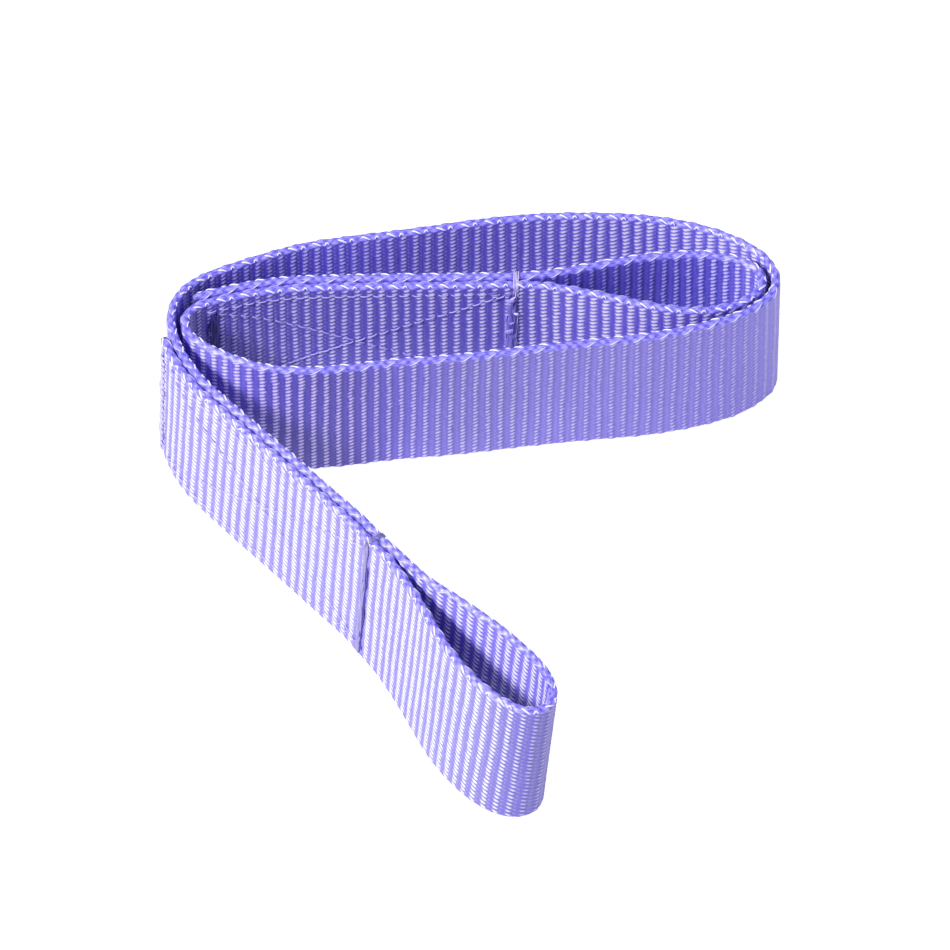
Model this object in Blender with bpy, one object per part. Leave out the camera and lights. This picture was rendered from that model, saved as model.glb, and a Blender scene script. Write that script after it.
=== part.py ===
"""Sewn eye-and-eye webbing sling, standing on its edge in a loose coil.

One length of flat webbing.  Each end is folded back into an eye and sewn to the
strap behind it, so each leg is two layers thick.  The strap stands on its lower
edge (z = 0).  Seen from above it runs: front tail, front eye, front leg, outer
bend, back run, right bend, front run, inner bend, rear leg, rear eye, rear tail.

Metres, +Z up, +X to the right along the coil, +Y to the back.
"""
import math
import bpy
import bmesh
from mathutils import Vector
from mathutils.geometry import delaunay_2d_cdt

MM = 0.001

# ---- driving dimensions, mm -------------------------------------------------
WEB_WIDTH = 50.0          # webbing width: the strap stands this tall
WEB_THICK = 2.5           # webbing thickness
LAYER_GAP = 0.3           # clearance between two sewn layers
LAYER = WEB_THICK + LAYER_GAP
EDGE_ROUND = 0.7          # chamfer of the selvedges
STEP = 2.5                # length of one facet along the strap
SMOOTH = 2.5              # easing of the route between its points

THREAD_GAP = 0.3          # clearance between a seam and the webbing
THREAD_T = 0.6            # thickness of a seam or bar tack
STITCH_W = 1.3            # width of a stitched line
TACK_W = 2.4              # width of a throat bar tack
END_TACK_W = 2.4          # width of a tail-end bar tack
END_TACK_AT = 4.4         # middle of that tack from the cut end
SEAM_FROM_TAIL = 9.5      # start of the box from the cut end
FRONT_SEAM_FROM_TACK = 3.4     # end of the box from the front throat tack
REAR_SEAM_FROM_TACK = 8.5      # the same at the rear eye
SEAM_LO, SEAM_HI = 4.5, 45.5   # lower and upper line of the box, up the web

# ---- route of the strap, mm: x, y of the lower edge, then the lean of the
# webbing across x and y (how far the upper edge sits over the lower one, as a
# share of the width) ---------------------------------------------------------
FRONT_EYE = [
    (-24.8, -36.8, 0.068, 0.078), (-21.0, -43.6, 0.074, 0.080),
    (-17.4, -50.4, 0.079, 0.078), (-13.6, -58.4, 0.083, 0.072),
    (-10.1, -65.1, 0.087, 0.062), (-5.0, -72.4, 0.091, 0.050),
    (1.2, -78.9, 0.096, 0.040), (8.0, -83.2, 0.098, 0.030),
    (14.2, -84.1, 0.092, 0.026), (18.8, -81.2, 0.078, 0.024),
    (19.4, -76.0, 0.070, 0.026), (16.0, -69.2, 0.072, 0.028),
    (9.0, -61.5, 0.074, 0.034), (4.0, -56.8, 0.075, 0.038),
    (-6.8, -48.1, 0.074, 0.046), (-15.4, -41.6, 0.070, 0.054),
    (-21.4, -35.0, 0.066, 0.062),
]
FRONT_LEG = [             # the layer that carries on into the coil
    (-27.4, -28.4, 0.062, 0.062), (-31.3, -23.0, 0.060, 0.058),
    (-37.6, -16.2, 0.060, 0.054), (-43.8, -9.5, 0.062, 0.048),
    (-49.9, -2.8, 0.064, 0.042), (-56.4, 4.0, 0.066, 0.036),
    (-62.8, 10.8, 0.068, 0.030), (-69.0, 17.6, 0.068, 0.024),
    (-74.8, 24.2, 0.064, 0.018), (-78.6, 30.5, 0.052, 0.010),
    (-81.1, 36.9, 0.036, -0.002), (-82.5, 43.0, 0.022, -0.010),
]
OUTER_BEND = [
    (-83.0, 47.4, 0.012, -0.010), (-82.6, 51.6, 0.006, -0.008),
    (-81.0, 55.5, 0.003, -0.005), (-78.3, 59.0, 0.0, 0.0),
    (-73.8, 62.3, 0.0, 0.0), (-68.4, 64.9, 0.0, 0.0),
]
BACK_RUN = [
    (-62.9, 67.2, 0.0, 0.0), (-57.5, 69.2, 0.0, 0.0),
    (-46.6, 72.9, 0.0, 0.0), (-35.5, 75.1, 0.0, 0.0),
    (-24.5, 76.8, 0.0, 0.0), (-13.4, 78.5, 0.0, 0.0),
    (-2.3, 80.5, 0.0, 0.0), (8.7, 82.2, 0.0, 0.0),
    (19.9, 83.3, 0.0, 0.0), (30.9, 83.6, 0.0, 0.0),
    (41.9, 83.3, 0.0, 0.0), (52.9, 82.2, 0.0, 0.0),
    (63.8, 79.9, 0.0, -0.005), (73.0, 76.5, 0.0, -0.012),
]
RIGHT_BEND = [
    (81.0, 71.6, 0.0, -0.024), (84.4, 67.2, 0.0, -0.032),
    (85.5, 63.0, -0.004, -0.036), (84.9, 59.8, -0.004, -0.038),
    (83.1, 57.3, -0.002, -0.038), (80.4, 55.0, 0.0, -0.038),
]
FRONT_RUN = [
    (75.3, 51.5, 0.0, -0.036), (69.7, 49.1, 0.0, -0.034),
    (64.2, 47.4, 0.002, -0.035), (58.7, 46.0, 0.004, -0.038),
    (47.6, 44.0, 0.006, -0.044), (36.5, 42.9, 0.008, -0.050),
    (25.3, 41.6, 0.010, -0.054), (14.2, 40.2, 0.010, -0.055),
    (3.0, 38.5, 0.010, -0.055), (-8.2, 37.1, 0.010, -0.055),
    (-19.3, 36.1, 0.010, -0.053), (-33.2, 34.0, 0.010, -0.050),
    (-42.1, 33.0, 0.010, -0.048), (-49.0, 32.8, 0.010, -0.044),
    (-57.5, 33.6, 0.008, -0.040),
]
INNER_BEND = [
    (-65.0, 36.3, 0.006, -0.036), (-71.5, 39.5, 0.004, -0.032),
    (-76.4, 42.9, 0.002, -0.026), (-78.8, 46.6, 0.0, -0.018),
    (-78.2, 50.6, 0.0, -0.010),
]
REAR_LEG = [              # the layer that carries on out of the coil
    (-75.3, 52.8, 0.0, -0.004), (-71.5, 54.1, 0.0, 0.0),
    (-66.0, 55.5, 0.0, 0.0),
    (-60.5, 56.9, 0.0, 0.0), (-52.2, 58.3, 0.0, 0.0),
    (-41.2, 59.0, 0.0, 0.0), (-30.1, 59.3, 0.0, 0.0),
    (-19.0, 59.5, 0.0, 0.0), (-8.0, 59.6, 0.0, 0.0),
    (3.1, 59.8, 0.0, 0.0), (12.6, 60.0, 0.0, 0.0),
]
REAR_EYE = [
    (20.0, 59.9, 0.0, -0.003), (27.5, 58.9, 0.0, -0.012),
    (36.5, 57.4, 0.0, -0.022), (43.7, 55.8, 0.0, -0.030),
    (50.6, 54.4, 0.0, -0.036), (58.0, 53.2, 0.0, -0.040),
    (65.0, 53.0, 0.0, -0.040), (72.5, 54.3, 0.0, -0.038),
    (78.4, 57.4, 0.0, -0.036), (81.6, 61.4, 0.0, -0.032),
    (81.2, 65.2, 0.0, -0.026), (77.4, 68.2, 0.0, -0.018),
    (71.0, 70.0, 0.0, -0.010), (63.5, 70.5, 0.0, -0.004),
    (53.2, 69.8, 0.0, 0.0), (46.6, 68.8, 0.0, 0.0),
    (38.3, 67.1, 0.0, 0.0), (28.0, 64.8, 0.0, 0.0),
    (20.0, 63.3, 0.0, 0.0),
]
FRONT_TAIL_FROM = 12      # the front tail lies along this many leg points
REAR_TAIL_TO = 0          # the rear tail reaches back to this leg point

CENTRE = (0.11, 0.13)     # moves the route so the whole part sits on the origin

# ---- joints -----------------------------------------------------------------
THROAT_PAST = 5.5         # throat hinge line beyond the middle of the bar tack
THROAT_CLEAR = 4.0        # leg stops this short of the throat hinge line
BEND_CLEAR = 1.6          # half of the round nose at the outer bend hinge

COL_LIT = (0.36, 0.33, 0.80, 1.0)
COL_MID = (0.21, 0.18, 0.60, 1.0)
COL_DEEP = (0.10, 0.08, 0.40, 1.0)
COL_THREAD = (0.62, 0.58, 0.84, 1.0)


# ---- route ------------------------------------------------------------------
def offset_points(points, dist):
    """The same points moved sideways (left of travel is positive)."""
    out = []
    n = len(points)
    for i, (x, y, ax, ay) in enumerate(points):
        x0, y0 = points[max(i - 1, 0)][:2]
        x1, y1 = points[min(i + 1, n - 1)][:2]
        length = math.hypot(x1 - x0, y1 - y0)
        out.append((x - (y1 - y0) / length * dist,
                    y + (x1 - x0) / length * dist, ax, ay))
    return out


def catmull(points, fine):
    """Centripetal Catmull-Rom samples about `fine` mm apart."""
    pts = [Vector(p) for p in points]
    pts = [pts[0] * 2 - pts[1]] + pts + [pts[-1] * 2 - pts[-2]]
    out = []
    for i in range(1, len(pts) - 2):
        p0, p1, p2, p3 = pts[i - 1:i + 3]
        t0 = 0.0
        t1 = t0 + math.sqrt((p1.xy - p0.xy).length)
        t2 = t1 + math.sqrt((p2.xy - p1.xy).length)
        t3 = t2 + math.sqrt((p3.xy - p2.xy).length)
        count = max(2, int(math.ceil((p2.xy - p1.xy).length / fine)))
        for k in range(count):
            t = t1 + (t2 - t1) * k / count
            a1 = p0 * ((t1 - t) / (t1 - t0)) + p1 * ((t - t0) / (t1 - t0))
            a2 = p1 * ((t2 - t) / (t2 - t1)) + p2 * ((t - t1) / (t2 - t1))
            a3 = p2 * ((t3 - t) / (t3 - t2)) + p3 * ((t - t2) / (t3 - t2))
            b1 = a1 * ((t2 - t) / (t2 - t0)) + a2 * ((t - t0) / (t2 - t0))
            b2 = a2 * ((t3 - t) / (t3 - t1)) + a3 * ((t - t1) / (t3 - t1))
            out.append(b1 * ((t2 - t) / (t2 - t1)) + b2 * ((t - t1) / (t2 - t1)))
    out.append(pts[-2])
    return out


def resample(path, step):
    dist = [0.0]
    for a, b in zip(path, path[1:]):
        dist.append(dist[-1] + (b.xy - a.xy).length)
    total = dist[-1]
    count = int(round(total / step))
    out, k = [], 0
    for i in range(count + 1):
        s = total * i / count
        while k < len(dist) - 2 and dist[k + 1] < s:
            k += 1
        u = (s - dist[k]) / (dist[k + 1] - dist[k])
        out.append(path[k].lerp(path[k + 1], min(max(u, 0.0), 1.0)))
    return out, total


def ease(path, step, sigma):
    """Gaussian easing along the path; the ends stay where they are."""
    reach = int(math.ceil(3 * sigma / step))
    weights = [math.exp(-0.5 * (k * step / sigma) ** 2) for k in range(-reach, reach + 1)]
    out = []
    n = len(path)
    for i in range(n):
        room = min(reach, i, n - 1 - i)
        acc, total = Vector((0, 0, 0, 0)), 0.0
        for k in range(-room, room + 1):
            acc += path[i + k] * weights[k + reach]
            total += weights[k + reach]
        out.append(acc / total)
    return out


FINE = 0.25
front_tail = list(reversed(offset_points(FRONT_LEG, LAYER)[:FRONT_TAIL_FROM]))
rear_tail = list(reversed(offset_points(REAR_LEG, LAYER)[REAR_TAIL_TO:]))
CHAIN = (front_tail + FRONT_EYE + FRONT_LEG + OUTER_BEND + BACK_RUN + RIGHT_BEND
         + FRONT_RUN + INNER_BEND + REAR_LEG + REAR_EYE + rear_tail)
ROUTE, _ = resample(catmull(CHAIN, FINE), FINE)
ROUTE = ease(ROUTE, FINE, SMOOTH)
ROUTE, LENGTH = resample(ROUTE, FINE)
FINE = LENGTH / (len(ROUTE) - 1)


def station(s):
    """Lower-edge point, lean, direction and sideways normal at arc length s."""
    k = min(max(s / FINE, 0.0), len(ROUTE) - 1.001)
    i = int(k)
    p = ROUTE[i].lerp(ROUTE[i + 1], k - i)
    a = ROUTE[max(i - 2, 0)].xy
    b = ROUTE[min(i + 3, len(ROUTE) - 1)].xy
    t = (b - a).normalized()
    lean = Vector((p[2], p[3], math.sqrt(1.0 - p[2] ** 2 - p[3] ** 2)))
    return Vector((p[0] + CENTRE[0], p[1] + CENTRE[1], 0.0)), lean, t, Vector((-t.y, t.x, 0.0))


def nearest(x, y, lo=0.0, hi=None):
    """Arc length where the route passes closest to (x, y)."""
    hi = LENGTH if hi is None else hi
    best, found = 1e9, lo
    for i in range(int(lo / FINE), int(hi / FINE)):
        d = (ROUTE[i].x - x) ** 2 + (ROUTE[i].y - y) ** 2
        if d < best:
            best, found = d, i * FINE
    return found


def on_web(s, across, out):
    """Point `across` mm up the width and `out` mm sideways from mid-thickness."""
    p, lean, t, n = station(s)
    return p + lean * across + n * out


# ---- landmarks along the strap ----------------------------------------------
S_TACK_A = nearest(front_tail[-1][0], front_tail[-1][1], 0.0, 150.0)        # front bar tack, tail side
S_TACK_B = nearest(FRONT_LEG[0][0], FRONT_LEG[0][1], S_TACK_A + 60, 400.0)  # same tack, leg side
S_THROAT_A = S_TACK_A + THROAT_PAST
S_THROAT_B = S_TACK_B - THROAT_PAST
S_HINGE = nearest(OUTER_BEND[1][0], OUTER_BEND[1][1], S_TACK_B + 40, 500.0)
S_BACK_END = nearest(BACK_RUN[-1][0], BACK_RUN[-1][1], S_HINGE + 60, LENGTH)
S_FRONT_START = nearest(FRONT_RUN[0][0], FRONT_RUN[0][1], S_BACK_END, S_BACK_END + 80)
S_INNER = nearest(FRONT_RUN[-1][0], FRONT_RUN[-1][1], S_FRONT_START + 60, LENGTH)
S_REAR = nearest(REAR_LEG[0][0], REAR_LEG[0][1], S_INNER + 5, S_INNER + 70)
S_REAR_THROAT_A = nearest(REAR_LEG[-1][0], REAR_LEG[-1][1], S_REAR + 50, S_REAR + 110)
S_REAR_THROAT_B = nearest(rear_tail[0][0], rear_tail[0][1], S_REAR_THROAT_A + 80, LENGTH)


# ---- solids -----------------------------------------------------------------
def material(name, colour, rough):
    mat = bpy.data.materials.new(name)
    mat.use_nodes = True
    bsdf = mat.node_tree.nodes["Principled BSDF"]
    bsdf.inputs["Base Color"].default_value = colour
    bsdf.inputs["Roughness"].default_value = rough
    bsdf.inputs["Metallic"].default_value = 0.0
    mat.diffuse_color = colour
    return mat


def finish(name, bm, colour, rough, origin, parent):
    bmesh.ops.recalc_face_normals(bm, faces=bm.faces[:])
    mesh = bpy.data.meshes.new(name)
    bm.to_mesh(mesh)
    bm.free()
    obj = bpy.data.objects.new(name, mesh)
    bpy.context.collection.objects.link(obj)
    mesh.materials.append(material(name + "_mat", colour, rough))
    obj.location = (0.0, 0.0, 0.0)
    if parent is not None:
        obj.parent = parent
        obj.location = -Vector(origin)
    return obj


def profile():
    """Cross-section of the webbing: (across, out), rounded at both selvedges."""
    h, w, e = WEB_THICK / 2, WEB_WIDTH, EDGE_ROUND
    return [(0.0, -h + e), (0.0, h - e), (e, h), (w - e, h), (w, h - e),
            (w, -h + e), (w - e, -h), (e, -h)]


def web_solid(name, s0, s1, colour, origin=None, parent=None, nose0=0.0, nose1=0.0):
    """Webbing from s0 to s1.  A nose rounds an end in plan, for a hinge."""
    bm = bmesh.new()
    h = WEB_THICK / 2
    cuts = []
    body0, body1 = s0 + nose0, s1 - nose1
    if nose0:
        for deg in (8, 30, 50, 70):
            a = math.radians(deg)
            cuts.append((body0 - nose0 * math.cos(a), math.sin(a)))
    count = max(2, int(round((body1 - body0) / STEP)))
    cuts += [(body0 + (body1 - body0) * i / count, 1.0) for i in range(count + 1)]
    if nose1:
        for deg in (70, 50, 30, 8):
            a = math.radians(deg)
            cuts.append((body1 + nose1 * math.cos(a), math.sin(a)))
    rings = []
    for s, thin in cuts:
        rings.append([bm.verts.new(on_web(s, a, o * thin) * MM) for a, o in profile()])
    for r0, r1 in zip(rings, rings[1:]):
        for i in range(8):
            j = (i + 1) % 8
            bm.faces.new((r0[i], r0[j], r1[j], r1[i]))
    bm.faces.new(rings[0])
    bm.faces.new(rings[-1])
    obj = finish(name, bm, colour, 0.7, origin, parent)
    for poly in obj.data.polygons:
        poly.use_smooth = abs(poly.normal.z) < 0.3 and len(poly.vertices) == 4
    return obj


def seam_solid(name, s0, s1, lo, hi, side, origin=None, parent=None):
    """Sewn box with a cross in it, lying just off one face of the webbing."""
    w = STITCH_W
    length = s1 - s0
    height = hi - lo

    def loop(corners):
        pts = []
        for (xa, ya), (xb, yb) in zip(corners, corners[1:] + corners[:1]):
            count = max(1, int(math.hypot(xb - xa, yb - ya) / 3.5))
            pts += [(xa + (xb - xa) * k / count, ya + (yb - ya) * k / count)
                    for k in range(count)]
        return pts

    diag = math.hypot(length, height)
    ex = w * 0.5 * diag / height          # half width of a diagonal along s
    ey = w * 0.5 * diag / length          # half width of a diagonal up the web
    cx, cy = length / 2, height / 2
    slope = height / length
    windows = [
        [(w, w + ey + slope * w - w * 0.0), (w, height - w - ey - slope * w + w * 0.0), (cx - ex, cy)],
        [(length - w, w + ey + slope * w), (cx + ex, cy), (length - w, height - w - ey - slope * w)],
        [(w + ex + w / slope, w), (cx, cy - ey), (length - w - ex - w / slope, w)],
        [(w + ex + w / slope, height - w), (length - w - ex - w / slope, height - w), (cx, cy + ey)],
    ]
    outline = loop([(0, 0), (length, 0), (length, height), (0, height)])
    verts, edges = [], []
    for ring in [outline] + [loop(c) for c in windows]:
        base = len(verts)
        verts += [Vector(p) for p in ring]
        edges += [(base + i, base + (i + 1) % len(ring)) for i in range(len(ring))]
    flat, _, faces, _, _, _ = delaunay_2d_cdt(verts, edges, [], 1, 1e-5)

    def inside(p, tri):
        sign = 0
        for (xa, ya), (xb, yb) in zip(tri, tri[1:] + tri[:1]):
            c = (xb - xa) * (p[1] - ya) - (yb - ya) * (p[0] - xa)
            if sign == 0:
                sign = 1 if c > 0 else -1
            elif c * sign < 0:
                return False
        return True

    keep = []
    for f in faces:
        mx = sum(flat[i][0] for i in f) / len(f)
        my = sum(flat[i][1] for i in f) / len(f)
        if not any(inside((mx, my), tri) for tri in windows):
            keep.append(f)
    used = sorted({i for f in keep for i in f})
    near = (WEB_THICK / 2 + THREAD_GAP) * side
    far = (WEB_THICK / 2 + THREAD_GAP + THREAD_T) * side
    bm = bmesh.new()
    under = {i: bm.verts.new(on_web(s0 + flat[i][0], lo + flat[i][1], near) * MM) for i in used}
    over = {i: bm.verts.new(on_web(s0 + flat[i][0], lo + flat[i][1], far) * MM) for i in used}
    count = {}
    for f in keep:
        for a, b in zip(f, f[1:] + f[:1]):
            count[(a, b)] = count.get((a, b), 0) + 1
    for f in keep:
        bm.faces.new([over[i] for i in f])
        bm.faces.new([under[i] for i in reversed(f)])
    for (a, b) in count:
        if (b, a) not in count:
            bm.faces.new((over[b], over[a], under[a], under[b]))
    return finish(name, bm, COL_THREAD, 0.6, origin, parent)


def tack_solid(name, s_mid, width, face, other, lo, origin=None, parent=None):
    """Bar tack across the webbing: up one face, over the upper edge, down the other.

    face and other are the sideways offsets of the two outer webbing faces.
    """
    near, far = face - THREAD_GAP, face - THREAD_GAP - THREAD_T
    near2, far2 = other + THREAD_GAP, other + THREAD_GAP + THREAD_T
    top = WEB_WIDTH + THREAD_GAP
    outline = [(lo, far), (top + THREAD_T, far), (top + THREAD_T, far2), (lo, far2),
               (lo, near2), (top, near2), (top, near), (lo, near)]
    bm = bmesh.new()
    rings = []
    for s in (s_mid - width / 2, s_mid + width / 2):
        rings.append([bm.verts.new(on_web(s, a, o) * MM) for a, o in outline])
    n = len(outline)
    for i in range(n):
        j = (i + 1) % n
        bm.faces.new((rings[0][i], rings[0][j], rings[1][j], rings[1][i]))
    for ring in rings:
        bm.faces.new((ring[0], ring[1], ring[6], ring[7]))
        bm.faces.new((ring[1], ring[2], ring[5], ring[6]))
        bm.faces.new((ring[2], ring[3], ring[4], ring[5]))
    return finish(name, bm, COL_THREAD, 0.6, origin, parent)


def bar_solid(name, s_mid, width, side, lo, hi, origin=None, parent=None):
    """Flat bar tack on one face of the webbing."""
    bm = bmesh.new()
    rings = []
    count = 5
    for s in (s_mid - width / 2, s_mid + width / 2):
        for out in (WEB_THICK / 2 + THREAD_GAP, WEB_THICK / 2 + THREAD_GAP + THREAD_T):
            rings.append([bm.verts.new(on_web(s, lo + (hi - lo) * k / count, out * side) * MM)
                          for k in range(count + 1)])
    a, b, c, d = rings
    for k in range(count):
        bm.faces.new((a[k], a[k + 1], c[k + 1], c[k]))
        bm.faces.new((b[k], b[k + 1], d[k + 1], d[k]))
        bm.faces.new((a[k], a[k + 1], b[k + 1], b[k]))
        bm.faces.new((c[k], c[k + 1], d[k + 1], d[k]))
    bm.faces.new((a[0], b[0], d[0], c[0]))
    bm.faces.new((a[-1], b[-1], d[-1], c[-1]))
    return finish(name, bm, COL_THREAD, 0.6, origin, parent)


# ---- build ------------------------------------------------------------------
def main():
    for obj in list(bpy.data.objects):
        bpy.data.objects.remove(obj, do_unlink=True)
    for mesh in list(bpy.data.meshes):
        bpy.data.meshes.remove(mesh)

    def empty(name, at, parent=None, parent_at=(0, 0, 0)):
        e = bpy.data.objects.new(name, None)
        e.empty_display_size = 0.01
        bpy.context.collection.objects.link(e)
        e.location = Vector(at) - Vector(parent_at)
        e.parent = parent
        return e

    # hinge lines, both vertical
    ph, _, _, _ = station(S_HINGE)
    leg_axis = Vector((ph.x, ph.y, 0.0)) * MM
    pa, _, _, _ = station(S_THROAT_A)
    pb, _, _, _ = station(S_THROAT_B)
    eye_axis = Vector(((pa.x + pb.x) / 2, (pa.y + pb.y) / 2, 0.0)) * MM
    leg_pivot = empty("front_leg_pivot", leg_axis)
    eye_pivot = empty("front_eye_pivot", eye_axis, leg_pivot, leg_axis)

    h = WEB_THICK / 2
    # front eye, moves with its throat hinge
    web_solid("front_eye_loop", S_THROAT_A, S_THROAT_B, COL_LIT, eye_axis, eye_pivot)

    # front leg: sewn tail outside, carrying layer inside
    web_solid("front_tail", 0.0, S_THROAT_A - THROAT_CLEAR, COL_LIT, leg_axis, leg_pivot)
    web_solid("front_leg_webbing", S_THROAT_B + THROAT_CLEAR, S_HINGE - BEND_CLEAR / 2 - 0.2,
              COL_LIT, leg_axis, leg_pivot, nose1=h)
    seam_solid("front_box_cross_seam", SEAM_FROM_TAIL, S_TACK_A - FRONT_SEAM_FROM_TACK, SEAM_LO, SEAM_HI,
               -1, leg_axis, leg_pivot)
    tack_solid("front_throat_bar_tack", S_TACK_A - 0.2, TACK_W,
               -h, h + LAYER, 1.5, leg_axis, leg_pivot)
    bar_solid("front_tail_end_bar_tack", END_TACK_AT, END_TACK_W, -1, 3.0, 47.0, leg_axis, leg_pivot)

    # the coil
    web_solid("back_run_webbing", S_HINGE + BEND_CLEAR / 2 + 0.2, S_BACK_END - 0.15, COL_MID, nose0=h)
    web_solid("right_bend_webbing", S_BACK_END + 0.15, S_FRONT_START - 0.15, COL_MID)
    web_solid("front_run_webbing", S_FRONT_START + 0.15, S_INNER - 0.15, COL_MID)
    web_solid("inner_bend_webbing", S_INNER + 0.15, S_REAR - 0.15, COL_MID)
    web_solid("rear_leg_webbing", S_REAR + 0.15, S_REAR_THROAT_A - 0.15, COL_DEEP)
    web_solid("rear_eye_loop", S_REAR_THROAT_A + 0.15, S_REAR_THROAT_B - 0.15, COL_DEEP)
    web_solid("rear_tail", S_REAR_THROAT_B + 0.15, LENGTH, COL_DEEP)
    seam_solid("rear_box_cross_seam", S_REAR + SEAM_FROM_TAIL, S_REAR_THROAT_A - REAR_SEAM_FROM_TACK,
               SEAM_LO, SEAM_HI, -1)
    tack_solid("rear_throat_bar_tack", S_REAR_THROAT_A - 1.6, TACK_W, -h, h + LAYER, 1.5)
    bar_solid("rear_tail_end_bar_tack", LENGTH - END_TACK_AT, END_TACK_W, -1, 3.0, 47.0)


main()
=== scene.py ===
"""Eye-and-eye webbing sling: woven strap, selvedge floats, stitching and bar tacks."""
import math
import bpy
import numpy as np
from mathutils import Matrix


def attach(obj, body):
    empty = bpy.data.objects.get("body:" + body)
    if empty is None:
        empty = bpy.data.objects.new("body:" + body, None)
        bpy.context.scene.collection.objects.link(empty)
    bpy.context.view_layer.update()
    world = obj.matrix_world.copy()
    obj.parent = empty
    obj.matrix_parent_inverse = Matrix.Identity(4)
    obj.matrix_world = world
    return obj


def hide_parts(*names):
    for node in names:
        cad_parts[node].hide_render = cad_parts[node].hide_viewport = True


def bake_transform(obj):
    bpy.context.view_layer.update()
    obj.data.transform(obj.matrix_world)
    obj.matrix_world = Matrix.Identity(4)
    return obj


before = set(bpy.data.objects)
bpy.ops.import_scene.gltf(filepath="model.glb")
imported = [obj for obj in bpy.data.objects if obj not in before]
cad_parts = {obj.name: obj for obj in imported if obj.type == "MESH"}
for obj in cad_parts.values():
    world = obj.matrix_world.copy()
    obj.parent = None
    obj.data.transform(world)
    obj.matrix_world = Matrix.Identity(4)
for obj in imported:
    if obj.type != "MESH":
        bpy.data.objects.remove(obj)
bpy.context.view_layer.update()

MM = 0.001

# ---- strap and route, the same as the CAD model (mm) --------------------------
WEB_THICK = 2.5
LAYER = 2.8
SMOOTH = 2.5
CENTRE = (0.11, 0.13)

FRONT_EYE = [
    (-24.8, -36.8, 0.068, 0.078), (-21.0, -43.6, 0.074, 0.080),
    (-17.4, -50.4, 0.079, 0.078), (-13.6, -58.4, 0.083, 0.072),
    (-10.1, -65.1, 0.087, 0.062), (-5.0, -72.4, 0.091, 0.050),
    (1.2, -78.9, 0.096, 0.040), (8.0, -83.2, 0.098, 0.030),
    (14.2, -84.1, 0.092, 0.026), (18.8, -81.2, 0.078, 0.024),
    (19.4, -76.0, 0.070, 0.026), (16.0, -69.2, 0.072, 0.028),
    (9.0, -61.5, 0.074, 0.034), (4.0, -56.8, 0.075, 0.038),
    (-6.8, -48.1, 0.074, 0.046), (-15.4, -41.6, 0.070, 0.054),
    (-21.4, -35.0, 0.066, 0.062),
]
FRONT_LEG = [
    (-27.4, -28.4, 0.062, 0.062), (-31.3, -23.0, 0.060, 0.058),
    (-37.6, -16.2, 0.060, 0.054), (-43.8, -9.5, 0.062, 0.048),
    (-49.9, -2.8, 0.064, 0.042), (-56.4, 4.0, 0.066, 0.036),
    (-62.8, 10.8, 0.068, 0.030), (-69.0, 17.6, 0.068, 0.024),
    (-74.8, 24.2, 0.064, 0.018), (-78.6, 30.5, 0.052, 0.010),
    (-81.1, 36.9, 0.036, -0.002), (-82.5, 43.0, 0.022, -0.010),
]
OUTER_BEND = [
    (-83.0, 47.4, 0.012, -0.010), (-82.6, 51.6, 0.006, -0.008),
    (-81.0, 55.5, 0.003, -0.005), (-78.3, 59.0, 0.0, 0.0),
    (-73.8, 62.3, 0.0, 0.0), (-68.4, 64.9, 0.0, 0.0),
]
BACK_RUN = [
    (-62.9, 67.2, 0.0, 0.0), (-57.5, 69.2, 0.0, 0.0),
    (-46.6, 72.9, 0.0, 0.0), (-35.5, 75.1, 0.0, 0.0),
    (-24.5, 76.8, 0.0, 0.0), (-13.4, 78.5, 0.0, 0.0),
    (-2.3, 80.5, 0.0, 0.0), (8.7, 82.2, 0.0, 0.0),
    (19.9, 83.3, 0.0, 0.0), (30.9, 83.6, 0.0, 0.0),
    (41.9, 83.3, 0.0, 0.0), (52.9, 82.2, 0.0, 0.0),
    (63.8, 79.9, 0.0, -0.005), (73.0, 76.5, 0.0, -0.012),
]
RIGHT_BEND = [
    (81.0, 71.6, 0.0, -0.024), (84.4, 67.2, 0.0, -0.032),
    (85.5, 63.0, -0.004, -0.036), (84.9, 59.8, -0.004, -0.038),
    (83.1, 57.3, -0.002, -0.038), (80.4, 55.0, 0.0, -0.038),
]
FRONT_RUN = [
    (75.3, 51.5, 0.0, -0.036), (69.7, 49.1, 0.0, -0.034),
    (64.2, 47.4, 0.002, -0.035), (58.7, 46.0, 0.004, -0.038),
    (47.6, 44.0, 0.006, -0.044), (36.5, 42.9, 0.008, -0.050),
    (25.3, 41.6, 0.010, -0.054), (14.2, 40.2, 0.010, -0.055),
    (3.0, 38.5, 0.010, -0.055), (-8.2, 37.1, 0.010, -0.055),
    (-19.3, 36.1, 0.010, -0.053), (-33.2, 34.0, 0.010, -0.050),
    (-42.1, 33.0, 0.010, -0.048), (-49.0, 32.8, 0.010, -0.044),
    (-57.5, 33.6, 0.008, -0.040),
]
INNER_BEND = [
    (-65.0, 36.3, 0.006, -0.036), (-71.5, 39.5, 0.004, -0.032),
    (-76.4, 42.9, 0.002, -0.026), (-78.8, 46.6, 0.0, -0.018),
    (-78.2, 50.6, 0.0, -0.010),
]
REAR_LEG = [
    (-75.3, 52.8, 0.0, -0.004), (-71.5, 54.1, 0.0, 0.0),
    (-66.0, 55.5, 0.0, 0.0),
    (-60.5, 56.9, 0.0, 0.0), (-52.2, 58.3, 0.0, 0.0),
    (-41.2, 59.0, 0.0, 0.0), (-30.1, 59.3, 0.0, 0.0),
    (-19.0, 59.5, 0.0, 0.0), (-8.0, 59.6, 0.0, 0.0),
    (3.1, 59.8, 0.0, 0.0), (12.6, 60.0, 0.0, 0.0),
]
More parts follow.
